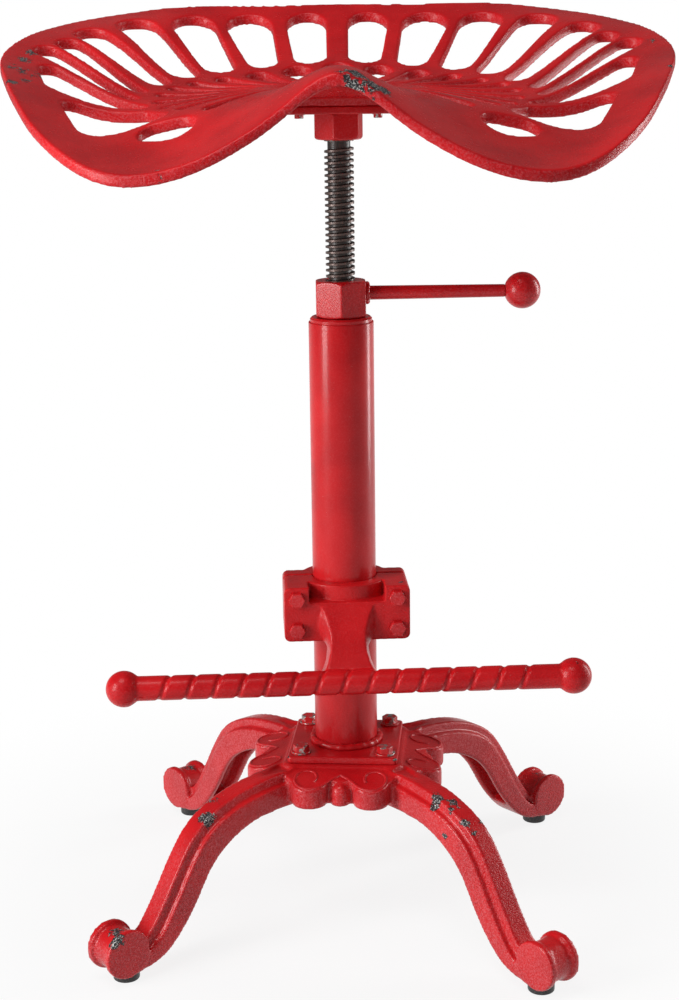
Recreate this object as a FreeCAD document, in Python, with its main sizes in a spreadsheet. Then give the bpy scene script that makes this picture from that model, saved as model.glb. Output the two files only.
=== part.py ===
import FreeCAD, Part
import math
import os
import re

import Sketcher

# Adjustable stool with a cast tractor seat on a four-legged cast base.
# Millimetres. Z is up, the origin is on the floor under the post, and the
# base is square to X and Y. The stool's front faces -Y. The seat, the lever
# and the footrest stand turned a few degrees from the base, as they were left.

Vector = FreeCAD.Vector

# Driving dimensions, one row each, kept in the spreadsheet
SIZES = {
    # base casting
    "foot_spacing": 279.4,
    "scroll_radius": 17.0,
    "scroll_height": 23.0,
    "scroll_reach": 5.4,
    "scroll_width": 26.0,
    "scroll_rim": 5.0,
    "scroll_roller": 14.5,
    "leg_width": 25.0,
    "leg_rib_width": 16.0,
    "leg_rib_depth": 7.0,
    "leg_channel_width": 15.0,
    "leg_channel_roof": 13.0,
    "hub_top": 116.5,
    "hub_underside": 94.0,
    "hub_pad_size": 83.0,
    "hub_deck_rise": 2.0,
    "hub_deck_drop": 5.8,
    "hub_roof": 12.0,
    "hub_recess_size": 76.0,
    "hub_bore": 24.0,
    "apron_reach": 70.0,
    "apron_lobe_radius": 12.5,
    "apron_lobe_offset": 21.6,
    "apron_bead_radius": 7.0,
    "apron_bead_reach": 64.0,
    "apron_bead_top": 110.0,
    "hub_bottom_room": 14.0,
    "leg_pocket_length": 24.0,
    "leg_pocket_width": 15.0,
    "leg_pocket_depth": 2.2,
    # floor glides
    "glide_diameter": 18.0,
    "glide_height": 6.8,
    "glide_clearance": 0.3,
    "glide_screw_diameter": 5.0,
    "glide_screw_length": 18.0,
    "glide_screw_head": 9.0,
    "glide_screw_recess": 3.2,
    "glide_screw_lift": 0.8,
    # flange plate on the base and its screws
    "plate_size": 78.4,
    "plate_thickness": 5.0,
    "plate_corner": 3.0,
    "plate_edge_round": 1.5,
    "plate_screw_spacing": 60.0,
    "screw_diameter": 6.0,
    "screw_hole": 6.6,
    "screw_head_flats": 10.0,
    "screw_head_height": 4.5,
    "screw_flange": 14.2,
    "screw_flange_height": 1.4,
    "washer_diameter": 12.4,
    "washer_thickness": 1.6,
    "nut_flats": 10.0,
    "nut_height": 5.0,
    "screw_overhang": 3.0,
    # post
    "tube_diameter": 45.0,
    "tube_wall": 3.0,
    "tube_length": 305.5,
    "tube_weld": 3.5,
    "bush_length": 32.0,
    "bush_collar": 3.2,
    "bush_collar_diameter": 42.8,
    "bush_edge": 1.2,
    # lifting screw
    "thread_diameter": 20.0,
    "thread_pitch": 4.0,
    "thread_core": 15.5,
    "thread_root_depth": 0.1,
    "thread_root_width": 2.64,
    "thread_crest_width": 1.44,
    "thread_clearance": 0.08,
    "rod_length": 275.0,
    "rod_plain_top": 24.0,
    "rod_spigot_diameter": 12.0,
    "rod_spigot_length": 10.3,
    "exposed_thread": 94.8,
    # guide at the foot of the screw
    "guide_thickness": 10.0,
    "guide_clearance": 0.08,
    "guide_end_play": 0.15,
    "guide_washer_diameter": 22.0,
    "guide_washer_thickness": 2.0,
    "guide_screw_diameter": 6.0,
    "guide_screw_length": 18.0,
    "guide_screw_head": 10.0,
    "guide_screw_head_height": 4.0,
    # lock nut and its lever
    "lock_gap": 0.3,
    "lock_flats": 34.0,
    "lock_height": 24.7,
    "lock_turn": 6.5,
    "lever_rise": 15.6,
    "lever_length": 125.0,
    "lever_root": 9.8,
    "lever_tip": 8.8,
    "lever_boss": 14.0,
    "lever_boss_length": 4.0,
    "knob_diameter": 25.2,
    "knob_socket": 9.0,
    "knob_flat_depth": 0.6,
    "stud_diameter": 6.0,
    # footrest clamp
    "footrest_turn": 7.8,
    "clamp_centre": 226.5,
    "clamp_height": 39.0,
    "clamp_width": 88.0,
    "clamp_front": 34.5,
    "clamp_back": 13.0,
    "clamp_split": 2.0,
    "clamp_corner": 4.0,
    "clamp_ring": 31.5,
    "clamp_clearance": 0.06,
    "clamp_pocket": 53.0,
    "clamp_ledge": 11.0,
    "clamp_bolt_spacing": 70.0,
    "clamp_bolt_pitch": 22.4,
    "clamp_head_height": 4.0,
    # footrest arm and bar
    "arm_width": 53.0,
    "bar_reach": 60.0,
    "bar_height": 185.2,
    "bar_diameter": 17.2,
    "bar_span": 310.4,
    "bar_groove_pitch": 17.7,
    "bar_groove_turns": 15.0,
    "bar_groove_radius": 2.2,
    "bar_groove_depth": 1.3,
    "ball_diameter": 25.2,
    # seat mounting
    "seat_turn": 4.9,
    "seat_nut_flats": 30.0,
    "seat_nut_height": 18.0,
    "seat_nut_turn": -11.0,
    "mount_size": 76.0,
    "mount_thickness": 5.0,
    "mount_corner": 4.0,
    "mount_screw_spacing": 52.0,
    "mount_bore": 20.4,
    "seat_boss_height": 10.8,
    "seat_screw_head": 11.0,
    "seat_screw_head_height": 3.2,
    "seat_washer_diameter": 13.0,
    "seat_washer_thickness": 1.4,
    "seat_spotface": 15.0,
    # seat pan
    "seat_thickness": 8.0,
    "hub_slot_step": 13.8,
    "hub_slot_width": 120.0,
    "hub_slot_rear": 74.0,
    "hub_slot_front": 92.0,
    "hub_slot_inner": 60.0,
    "hub_slot_squeeze": 0.28,
    "hub_slot_tip": 2.0,
}

# Right half of the seat's rim, from the middle of the front edge round to the
# middle of the back: plan position, and height above the seat's hub. The
# casting is symmetrical.
SEAT_RIM = (
    (0, -148, 13), (38, -152, -10), (90, -161, -38), (140, -153, -43.5), (178, -122, -25.5),
    (204, -74, -2), (220, -22, 14), (228, 20, 23), (223, 66, 34), (203, 109, 43),
    (162, 145, 51), (95, 163, 57), (0, 167, 57.5),
)

# Places inside the rim on the right half of the seat, and their heights
SEAT_DISH = (
    (0, -118, 17), (55, -118, -11), (110, -118, -34), (150, -112, -33),
    (80, -85, -12), (110, -95, -26),
    (0, -70, 8), (55, -70, -3), (110, -70, -15), (160, -70, -22),
    (0, -20, 1), (55, -20, 0), (110, -20, -8), (160, -20, -7), (195, -20, 5),
    (0, 30, 1), (55, 30, 2), (110, 30, 1), (160, 30, 10), (195, 30, 18.5),
    (0, 80, 14), (55, 80, 12), (110, 80, 17), (160, 80, 31), (195, 75, 34),
    (0, 125, 34), (55, 125, 34), (110, 125, 41), (150, 120, 45),
)

# Step of the grid on which the seat's height is taken, and the number of steps
# it reaches from the middle, sideways and lengthways
SEAT_GRID = 19.0
SEAT_COLUMNS = 13
SEAT_ROWS = 10

# The right half's slots in the outer ring, from the back to the side: the inner
# end and then the outer one, as plan positions and radii
OUTER_SLOTS = (
    ((19.5, 98, 11.7), (22.5, 140.5, 14.3)),
    ((53.5, 94, 11), (64, 136, 16.5)),
    ((84.5, 83.5, 11.8), (104, 128.5, 16)),
    ((109, 66.5, 11.6), (144, 115.5, 15)),
    ((124.5, 41.5, 9.3), (175, 92.5, 12.3)),
    ((134, 16, 4.6), (188, 69, 9)),
    ((137, -1, 3.6), (201, 50.5, 9.3)),
    ((130, -21, 4.5), (186, -8, 9), (194, 17, 8.5)),
)

# The slots over the right thigh, as corners and their radii
THIGH_SLOTS = (
    ((117, -59, 7), (157, -69, 10), (171, -37.5, 9.5), (128, -41, 6)),
    ((102, -87.5, 12.5), (116, -84, 10.5)),
)

# End radii of the slots round the hub, from the back one forwards on one side
HUB_SLOT_RADII = (10.5, 10, 8.6, 6.4, 5.2, 4.3, 3.8, 3.9, 4.3, 5, 5.6)

# Leg outline in its own plane: each pair is a point on the top edge and the
# point across from it on the underside, as distance from the post and height
LEG_PAIRS = (
    ((30, 115), (30, 90)),
    ((60, 114.8), (58, 90)),
    ((85, 112.8), (80, 89.5)),
    ((108, 108.5), (97, 86.8)),
    ((126, 101.5), (111, 81)),
    ((139.5, 92.5), (121.5, 74.5)),
    ((149.5, 81), (130, 66.5)),
    ((157, 69.5), (137, 57)),
    ((163, 59.5), (143, 47)),
    ((169, 49.5), (149.5, 37)),
    ((175.5, 39.5), (158, 26.5)),
    ((182, 31), (169, 16)),
    ((189, 25), (184, 9)),
)

# The footrest's arm, from the clamp's ledge to the bar: how far down, the half
# width and reach of its front face, and of its back. Widths are shares of the
# arm's half width, reaches are shares of the way from the clamp's face to the bar.
ARM_SECTIONS = (
    (0.00, 0.75, -0.04, 0.98, -0.57),
    (0.18, 0.55, 0.15, 0.98, -0.18),
    (0.38, 0.45, 0.33, 0.90, -0.14),
    (0.52, 0.45, 0.47, 0.69, -0.14),
    (0.64, 0.48, 0.61, 0.55, -0.06),
    (0.78, 0.57, 0.80, 0.59, 0.22),
    (0.90, 0.68, 0.98, 0.70, 0.45),
    (1.02, 0.79, 1.08, 0.79, 0.69),
)

# Most turns of the thread that are laid in one sweep
THREAD_STRETCH = 17

# Levels of the stack on the post, from the floor up
PLATE_BASE = ("hub_top",)
PLATE_TOP = PLATE_BASE + ("plate_thickness",)
TUBE_TOP = PLATE_TOP + ("tube_length",)
LOCK_BASE = TUBE_TOP + ("bush_collar", "lock_gap")
LOCK_TOP = LOCK_BASE + ("lock_height",)
SEAT_NUT_BASE = LOCK_TOP + ("exposed_thread",)
MOUNT_BASE = SEAT_NUT_BASE + ("seat_nut_height",)
MOUNT_TOP = MOUNT_BASE + ("mount_thickness",)

doc = FreeCAD.newDocument("TractorSeatStool")
sheet = doc.addObject("Spreadsheet::Sheet", "Sizes")
parts = []


def fill_sheet():
    """Writes every driving dimension as a plain number with its alias."""
    for row, (name, number) in enumerate(SIZES.items(), start=1):
        sheet.set(f"A{row}", name)
        sheet.set(f"B{row}", str(number))
        sheet.setAlias(f"B{row}", name)
    doc.recompute()


def bound(text):
    """Turns a formula on size names into one on the sheet's cells."""
    return re.sub(r"[a-z_]{3,}", lambda m: "Sizes." + m[0] if m[0] in SIZES else m[0], text)


def level(names):
    """A stack height as a formula."""
    return " + ".join(names)


def total(names):
    """A stack height as a number."""
    return sum(SIZES[name] for name in names)


def place(item, x="0", y="0", z="0"):
    """Binds the position of an object to formulas."""
    for axis, text in (("x", x), ("y", y), ("z", z)):
        if text != "0":
            item.setExpression(f"Placement.Base.{axis}", bound(text))
    return item


def cylinder(name, radius, height, x="0", y="0", z="0"):
    item = doc.addObject("Part::Cylinder", name)
    item.setExpression("Radius", bound(radius))
    item.setExpression("Height", bound(height))
    return place(item, x, y, z)


def box(name, width, depth, height, x="0", y="0", z="0"):
    item = doc.addObject("Part::Box", name)
    item.setExpression("Length", bound(width))
    item.setExpression("Width", bound(depth))
    item.setExpression("Height", bound(height))
    return place(item, x, y, z)


def hexagon(name, flats, height, x="0", y="0", z="0"):
    item = doc.addObject("Part::Prism", name)
    item.Polygon = 6
    item.setExpression("Circumradius", bound(f"({flats}) / 2 / cos(30 deg)"))
    item.setExpression("Height", bound(height))
    return place(item, x, y, z)


def fuse(name, items):
    item = doc.addObject("Part::MultiFuse", name)
    item.Shapes = items
    return item


def cut(name, base, tools):
    tool = tools[0] if len(tools) == 1 else fuse(name + "_tools", tools)
    item = doc.addObject("Part::Cut", name)
    item.Base = base
    item.Tool = tool
    return item


def common(name, items):
    item = doc.addObject("Part::MultiCommon", name)
    item.Shapes = items
    return item


def group(name, items):
    item = doc.addObject("Part::Compound", name)
    item.Links = items
    return item


def finish(item, label, turn=None):
    """Gives a sub-part its label and its turn about the post."""
    item.Label = label
    if turn:
        rotation = FreeCAD.Rotation(Vector(0, 0, 1), SIZES[turn])
        item.Placement = FreeCAD.Placement(Vector(0, 0, 0), rotation)
    parts.append(item)
    return item


def plane_of(body, role):
    return next(plane for plane in body.Origin.OriginFeatures if plane.Role == role)


def new_sketch(body, name, role):
    sketch = body.newObject("Sketcher::SketchObject", name)
    sketch.AttachmentSupport = [(plane_of(body, role), "")]
    sketch.MapMode = "FlatFace"
    return sketch


def bind_point(sketch, edge, end, name, x, y):
    """Holds one sketch point at two formulas."""
    for axis, text, line in (("X", x, -2), ("Y", y, -1)):
        if text == "0":
            sketch.addConstraint(Sketcher.Constraint("PointOnObject", edge, end, line))
            continue
        index = sketch.addConstraint(
            Sketcher.Constraint("Distance" + axis, -1, 1, edge, end, 10.0 * (edge + 1)))
        sketch.renameConstraint(index, f"{name}_{axis.lower()}")
        sketch.setExpression(f"Constraints.{name}_{axis.lower()}", bound(text))


def polygon(sketch, points):
    """Draws a closed polygon whose corners are held at pairs of formulas."""
    count = len(points)
    for index in range(count):
        start = Vector(10.0 * (index + 1), 10.0 * (index + 1), 0)
        end = Vector(10.0 * ((index + 1) % count + 1), 10.0 * ((index + 1) % count + 1), 0)
        sketch.addGeometry(Part.LineSegment(start, end), False)
    for index in range(count):
        sketch.addConstraint(
            Sketcher.Constraint("Coincident", index, 2, (index + 1) % count, 1))
    for index, (x, y) in enumerate(points):
        bind_point(sketch, index, 1, f"corner{index}", x, y)


def turned(label, outline):
    """A body turned about Z, from corners given as radius and height."""
    body = doc.addObject("PartDesign::Body", label)
    sketch = new_sketch(body, label + "_outline", "XZ_Plane")
    polygon(sketch, outline)
    revolution = body.newObject("PartDesign::Revolution", label + "_turned")
    revolution.Profile = sketch
    revolution.ReferenceAxis = (sketch, ["V_Axis"])
    revolution.Angle = 360
    return body


def corners(spacing):
    """The four corners of a square pattern, as pairs of formulas."""
    half = f"({spacing}) / 2"
    return [(x + half, y + half) for x in ("-", "") for y in ("-", "")]


def plate_body(label, size, corner, thickness, base, holes, edge_round=None):
    """A square plate with rounded corners and round holes, as a body."""
    body = doc.addObject("PartDesign::Body", label)
    sketch = new_sketch(body, label + "_outline", "XY_Plane")
    half = SIZES[size] / 2
    ends = [Vector(-half, -half, 0), Vector(half, -half, 0), Vector(half, half, 0), Vector(-half, half, 0)]
    for index in range(4):
        sketch.addGeometry(Part.LineSegment(ends[index], ends[(index + 1) % 4]), False)
    for index in range(4):
        sketch.addConstraint(Sketcher.Constraint("Coincident", index, 2, (index + 1) % 4, 1))
        kind = "Horizontal" if index % 2 == 0 else "Vertical"
        sketch.addConstraint(Sketcher.Constraint(kind, index))
    sketch.addConstraint(Sketcher.Constraint("Symmetric", 0, 1, 2, 1, -1, 1))
    width = sketch.addConstraint(Sketcher.Constraint("DistanceX", 0, 1, 0, 2, 2 * half))
    depth = sketch.addConstraint(Sketcher.Constraint("DistanceY", 1, 1, 1, 2, 2 * half))
    sketch.renameConstraint(width, "width")
    sketch.renameConstraint(depth, "depth")
    sketch.setExpression("Constraints.width", bound(size))
    sketch.setExpression("Constraints.depth", bound(size))
    sketch.setExpression("AttachmentOffset.Base.z", bound(base))
    pad = body.newObject("PartDesign::Pad", label + "_pad")
    pad.Profile = sketch
    pad.setExpression("Length", bound(thickness))
    doc.recompute()
    upright = [f"Edge{n}" for n, edge in enumerate(pad.Shape.Edges, start=1)
               if abs(edge.Vertexes[0].Z - edge.Vertexes[-1].Z) > 1e-6]
    rounded = body.newObject("PartDesign::Fillet", label + "_corners")
    rounded.Base = (pad, upright)
    rounded.setExpression("Radius", bound(corner))
    doc.recompute()
    if edge_round:
        top = max(vertex.Z for vertex in rounded.Shape.Vertexes)
        rim = [f"Edge{n}" for n, edge in enumerate(rounded.Shape.Edges, start=1)
               if all(abs(vertex.Z - top) < 1e-6 for vertex in edge.Vertexes)]
        soft = body.newObject("PartDesign::Fillet", label + "_edge")
        soft.Base = (rounded, rim)
        soft.setExpression("Radius", bound(edge_round))
        doc.recompute()
    drill = new_sketch(body, label + "_holes", "XY_Plane")
    for index, (diameter, x, y) in enumerate(holes):
        drill.addGeometry(Part.Circle(Vector(index, index, 0), Vector(0, 0, 1), 1.0), False)
        number = drill.addConstraint(Sketcher.Constraint("Diameter", index, 2.0))
        drill.renameConstraint(number, f"hole{index}")
        drill.setExpression(f"Constraints.hole{index}", bound(diameter))
        bind_point(drill, index, 3, f"centre{index}", x, y)
    pocket = body.newObject("PartDesign::Pocket", label + "_drilled")
    pocket.Profile = drill
    pocket.Type = "ThroughAll"
    pocket.Midplane = True
    doc.recompute()
    return body


def chamfered_hex(name, flats, height, base, bore, turn):
    """A hexagon nut whose corners are turned off at both ends."""
    prism = hexagon(name + "_hex", flats, height, z=base)
    rise = f"({flats}) * 0.045"
    crown = turned(name + "_crown", [
        ("0", base),
        (f"({flats}) / 2", base),
        (f"({flats}) / 2 / cos(30 deg)", f"{base} + {rise}"),
        (f"({flats}) / 2 / cos(30 deg)", f"{base} + {height} - {rise}"),
        (f"({flats}) / 2", f"{base} + {height}"),
        ("0", f"{base} + {height}"),
    ])
    blank = common(name + "_blank", [prism, crown])
    hole = cylinder(name + "_bore", bore, f"{height} + 2", z=f"{base} - 1")
    item = cut(name, blank, [hole])
    prism.Placement.Rotation = FreeCAD.Rotation(Vector(0, 0, 1), turn)
    return item


def smooth(points):
    """A smooth edge through a list of points."""
    curve = Part.BSplineCurve()
    curve.interpolate(points)
    return curve.toShape()


def line(start, end):
    return Part.LineSegment(start, end).toShape()


def drilled(shape, diameter, x, y, low, high):
    """A shape with an upright round hole."""
    return shape.cut(Part.makeCylinder(diameter / 2, high - low, Vector(x, y, low)))


# Base: one casting with a square hub, scalloped aprons and four hollow legs
def leg_point(pair, depth):
    """The point that lies this far from the top edge, towards the underside."""
    top, under = (Vector(p[0], 0, p[1]) for p in pair)
    return top + (under - top).normalize() * depth


def across(points_a, points_b, width):
    """A slab between two smooth lines of the leg's plane, as wide as given."""
    first, second = smooth(points_a), smooth(points_b)
    wire = Part.Wire([first, line(points_a[-1], points_b[-1]), second, line(points_b[0], points_a[0])])
    slab = Part.Face(wire).extrude(Vector(0, width, 0))
    slab.translate(Vector(0, -width / 2, 0))
    return slab


def make_leg():
    """One leg along +X, with its rib on top and the scroll at its foot."""
    size = SIZES
    foot = size["foot_spacing"] / math.sqrt(2)
    centre = Vector(foot + size["scroll_reach"], 0, size["scroll_height"])
    tops = [leg_point(pair, 0) for pair in LEG_PAIRS]
    steps = [leg_point(pair, size["leg_rib_depth"]) for pair in LEG_PAIRS]
    overlaps = [leg_point(pair, size["leg_rib_depth"] + 2) for pair in LEG_PAIRS]
    unders = [Vector(pair[1][0], 0, pair[1][1]) for pair in LEG_PAIRS]
    toe = Vector(centre.x, 0, centre.z - size["scroll_radius"])
    body = across(steps, unders, size["leg_width"])
    rib = across(tops, overlaps, size["leg_rib_width"])
    sole_wire = Part.Wire([line(steps[-1], unders[-1]), line(unders[-1], toe), line(toe, centre),
                           line(centre, steps[-1])])
    sole = Part.Face(sole_wire).extrude(Vector(0, size["leg_width"], 0))
    sole.translate(Vector(0, -size["leg_width"] / 2, 0))
    half = size["scroll_width"] / 2
    along = Vector(0, 1, 0)
    roller = Part.makeCylinder(size["scroll_roller"], 2 * half, centre - along * half, along)
    rims = [Part.makeCylinder(size["scroll_radius"], size["scroll_rim"], centre + along * at, along)
            for at in (-half, half - size["scroll_rim"])]
    leg = body.fuse([rib, sole, roller] + rims)
    return leg


def make_channel():
    """The hollow under one leg, open below, as a solid to cut away."""
    inner = LEG_PAIRS[1:-2]
    roof = [leg_point(pair, SIZES["leg_channel_roof"]) for pair in inner]
    below = [leg_point(pair, Vector(pair[0][0] - pair[1][0], pair[0][1] - pair[1][1], 0).Length + 8)
             for pair in inner]
    return across(roof, below, SIZES["leg_channel_width"])


def make_hub():
    """The hub: a pad for the plate and a sloping deck with scalloped aprons."""
    size = SIZES
    reach = size["apron_reach"]
    lobe = size["apron_lobe_radius"]
    bead = size["apron_bead_radius"]
    bottom = size["hub_underside"]
    top = size["hub_top"]
    height = top - bottom
    inside = reach - lobe
    side = size["apron_lobe_offset"] + lobe
    rim = [(-side, -inside), (side, -inside), (inside, -side), (inside, side),
           (side, inside), (-side, inside), (-inside, side), (-inside, -side)]
    outline = Part.makePolygon([Vector(x, y, bottom) for x, y in rim + rim[:1]])
    deck = Part.Face(outline).extrude(Vector(0, 0, height))
    lobes = []
    for quarter in range(4):
        for side in (-1, 1):
            at = Vector(side * size["apron_lobe_offset"], -inside, bottom)
            lobes.append(Part.makeCylinder(lobe, height, at).rotate(
                Vector(0, 0, 0), Vector(0, 0, 1), 90 * quarter))
    deck = deck.fuse(lobes)
    pad_half = size["hub_pad_size"] / 2
    crest = top - size["hub_deck_rise"]
    edge = crest - size["hub_deck_drop"]
    square = ((-1, -1), (1, -1), (1, 1), (-1, 1), (-1, -1))
    levels = ((reach, bottom), (reach, edge), (pad_half, crest))
    roof = Part.makeLoft([
        Part.makePolygon([Vector(x * half, y * half, z) for x, y in square])
        for half, z in levels], True, True)
    deck = deck.common(roof)
    beads = []
    for quarter in range(4):
        at = Vector(0, bead - size["apron_bead_reach"], bottom)
        shoulder = size["apron_bead_top"] - bead
        rod = Part.makeCylinder(bead, shoulder - bottom, at)
        dome = Part.makeSphere(bead, Vector(at.x, at.y, shoulder))
        beads.append(rod.fuse(dome).rotate(Vector(0, 0, 0), Vector(0, 0, 1), 90 * quarter))
    pad = Part.makeBox(2 * pad_half, 2 * pad_half, height, Vector(-pad_half, -pad_half, bottom))
    return deck.fuse(beads + [pad])


def make_pocket():
    """The three-cornered recess on top of one leg, pointing away from the plate's corner."""
    size = SIZES
    root = size["hub_pad_size"] / math.sqrt(2) - size["leg_pocket_depth"]
    half = size["leg_pocket_width"] / 2
    low = size["hub_top"] - size["hub_deck_rise"] - size["leg_pocket_depth"]
    tip = Vector(root + size["leg_pocket_length"], 0, low)
    near, far = Vector(root, -half, low), Vector(root, half, low)
    mouth = Part.makePolygon([near, tip, far, near])
    return Part.Face(mouth).extrude(Vector(0, 0, size["hub_top"] - low))


def make_base_casting():
    size = SIZES
    spin = (Vector(0, 0, 0), Vector(0, 0, 1))
    legs = [make_leg().rotate(*spin, 45 + 90 * quarter) for quarter in range(4)]
    channels = [make_channel().rotate(*spin, 45 + 90 * quarter) for quarter in range(4)]
    pockets = [make_pocket().rotate(*spin, 45 + 90 * quarter) for quarter in range(4)]
    casting = make_hub().fuse(legs)
    half = size["hub_recess_size"] / 2
    below = size["hub_underside"] - size["hub_bottom_room"]
    above = size["hub_top"] + size["hub_bottom_room"]
    roof = size["hub_top"] - size["hub_roof"]
    recess = Part.makeBox(2 * half, 2 * half, roof - below, Vector(-half, -half, below))
    casting = casting.cut(channels + pockets + [recess])
    casting = drilled(casting, size["hub_bore"], 0, 0, below, above)
    spacing = size["plate_screw_spacing"] / 2
    foot = size["foot_spacing"] / 2
    socket = size["glide_diameter"] + 2 * size["glide_clearance"]
    screw_end = size["glide_screw_recess"] + size["glide_screw_length"]
    for x in (-1, 1):
        for y in (-1, 1):
            casting = drilled(casting, size["screw_hole"], x * spacing, y * spacing, below, above)
            casting = drilled(casting, socket, x * foot, y * foot, -1, size["glide_height"])
            casting = drilled(casting, size["glide_screw_diameter"], x * foot, y * foot, 0, screw_end)
    item = doc.addObject("Part::Feature", "base_casting")
    item.Shape = casting.removeSplitter()
    finish(item, "base_casting")


# Floor glides: a plastic pad under each scroll, held by a screw from below
def make_glides():
    pads, screws = [], []
    for index, (x, y) in enumerate(corners("foot_spacing")):
        puck = cylinder(f"glide{index}_puck", "glide_diameter / 2", "glide_height", x, y)
        hole = cylinder(f"glide{index}_hole", "glide_screw_diameter / 2 + glide_clearance",
                        "glide_height + 2", x, y, "-1")
        sink = cylinder(f"glide{index}_sink", "glide_screw_head / 2 + glide_clearance",
                        "glide_screw_recess", x, y)
        pads.append(cut(f"glide{index}", puck, [hole, sink]))
        head = cylinder(f"glide_screw{index}_head", "glide_screw_head / 2",
                        "glide_screw_recess - glide_screw_lift", x, y, "glide_screw_lift")
        shank = cylinder(f"glide_screw{index}_shank", "glide_screw_diameter / 2", "glide_screw_length",
                         x, y, "glide_screw_recess")
        screws.append(fuse(f"glide_screw{index}", [head, shank]))
    finish(group("foot_glides", pads), "foot_glides")
    finish(group("glide_screws", screws), "glide_screws")


# Flange plate: the post's foot, screwed to the hub with four flanged screws
def make_flange():
    spots = corners("plate_screw_spacing")
    holes = [("screw_hole", x, y) for x, y in spots] + [("hub_bore", "0", "0")]
    plate = plate_body("flange_plate_body", "plate_size", "plate_corner", "plate_thickness",
                       level(PLATE_BASE), holes, "plate_edge_round")
    finish(plate, "flange_plate")
    seat = level(PLATE_TOP)
    under = "hub_top - hub_roof"
    screws, washers, nuts = [], [], []
    for index, (x, y) in enumerate(spots):
        name = f"flange_screw{index}"
        flange = cylinder(name + "_flange", "screw_flange / 2", "screw_flange_height", x, y, seat)
        head = hexagon(name + "_head", "screw_head_flats", "screw_head_height",
                       x, y, seat + " + screw_flange_height")
        tail = f"{under} - washer_thickness - nut_height - screw_overhang"
        shank = cylinder(name + "_shank", "screw_diameter / 2", f"{seat} - ({tail})", x, y, tail)
        screws.append(fuse(name, [flange, head, shank]))
        disc = cylinder(f"flange_washer{index}_disc", "washer_diameter / 2", "washer_thickness",
                        x, y, f"{under} - washer_thickness")
        eye = cylinder(f"flange_washer{index}_eye", "screw_diameter / 2", "washer_thickness + 2",
                       x, y, f"{under} - washer_thickness - 1")
        washers.append(cut(f"flange_washer{index}", disc, [eye]))
        block = hexagon(f"flange_nut{index}_hex", "nut_flats", "nut_height",
                        x, y, f"{under} - washer_thickness - nut_height")
        bore = cylinder(f"flange_nut{index}_bore", "screw_diameter / 2", "nut_height + 2",
                        x, y, f"{under} - washer_thickness - nut_height - 1")
        nuts.append(cut(f"flange_nut{index}", block, [bore]))
    finish(group("flange_screws", screws), "flange_screws")
    finish(group("flange_washers", washers), "flange_washers")
    finish(group("flange_nuts", nuts), "flange_nuts")


# Post: a steel tube welded to the plate, with a threaded bush in its top
def make_post():
    outer = "tube_diameter / 2"
    inner = "tube_diameter / 2 - tube_wall"
    foot, top = level(PLATE_TOP), level(TUBE_TOP)
    tube = turned("post_tube_body", [(inner, foot), (outer, foot), (outer, top), (inner, top)])
    finish(tube, "post_tube")
    weld = turned("post_weld_body", [(outer, foot), (outer + " + tube_weld", foot),
                                     (outer + " + tube_weld * 0.45", foot + " + tube_weld * 0.45"),
                                     (outer, foot + " + tube_weld")])
    finish(weld, "post_weld")
    bore = "thread_diameter / 2 + thread_clearance"
    bush = turned("threaded_bush_body", [
        (bore, top + " - bush_length"),
        (inner, top + " - bush_length"),
        (inner, top),
        ("bush_collar_diameter / 2", top),
        ("bush_collar_diameter / 2", top + " + bush_collar - bush_edge"),
        ("bush_collar_diameter / 2 - bush_edge", top + " + bush_collar"),
        (bore, top + " + bush_collar"),
    ])
    finish(bush, "threaded_bush")


# Lifting screw: a trapezoidal thread that carries the seat
def thread_ridge(start, length):
    """A stretch of the thread's ridge, from this height up."""
    size = SIZES
    pitch = size["thread_pitch"]
    crest = size["thread_diameter"] / 2
    root = size["thread_core"] / 2 - size["thread_root_depth"]
    root_half = size["thread_root_width"] / 2
    crest_half = size["thread_crest_width"] / 2
    helix = Part.makeHelix(pitch, length, root)
    profile = Part.makePolygon([
        Vector(root, 0, -root_half), Vector(crest, 0, -crest_half), Vector(crest, 0, crest_half),
        Vector(root, 0, root_half), Vector(root, 0, -root_half)])
    ridge = Part.Wire(helix.Edges).makePipeShell([profile], True, True)
    ridge.translate(Vector(0, 0, start))
    return ridge


def make_screw_rod():
    size = SIZES
    pitch = size["thread_pitch"]
    top = total(MOUNT_TOP)
    foot = top - size["rod_length"]
    plain = top - size["rod_plain_top"]
    rod = Part.makeCylinder(size["thread_core"] / 2, top - foot, Vector(0, 0, foot))
    spigot = Part.makeCylinder(size["rod_spigot_diameter"] / 2, size["rod_spigot_length"],
                               Vector(0, 0, foot - size["rod_spigot_length"]))
    head = Part.makeCylinder(size["thread_diameter"] / 2, top - plain, Vector(0, 0, plain))
    # The ridge is laid in stretches of whole turns, each starting where the last one ends
    turns = int((plain - foot) / pitch) - 1
    stretches = math.ceil(turns / THREAD_STRETCH)
    lengths = [(turns + index) // stretches for index in range(stretches)]
    start = foot + pitch / 2
    ridges = []
    for count in lengths:
        ridges.append(thread_ridge(start, count * pitch))
        start += count * pitch
    rod = rod.fuse(ridges + [spigot, head])
    screw_foot = foot - size["rod_spigot_length"]
    screw_end = screw_foot + size["guide_screw_length"]
    rod = drilled(rod, size["guide_screw_diameter"], 0, 0, screw_foot - 1, screw_end)
    item = doc.addObject("Part::Feature", "screw_rod")
    item.Shape = rod
    finish(item, "screw_rod", "seat_turn")


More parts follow.
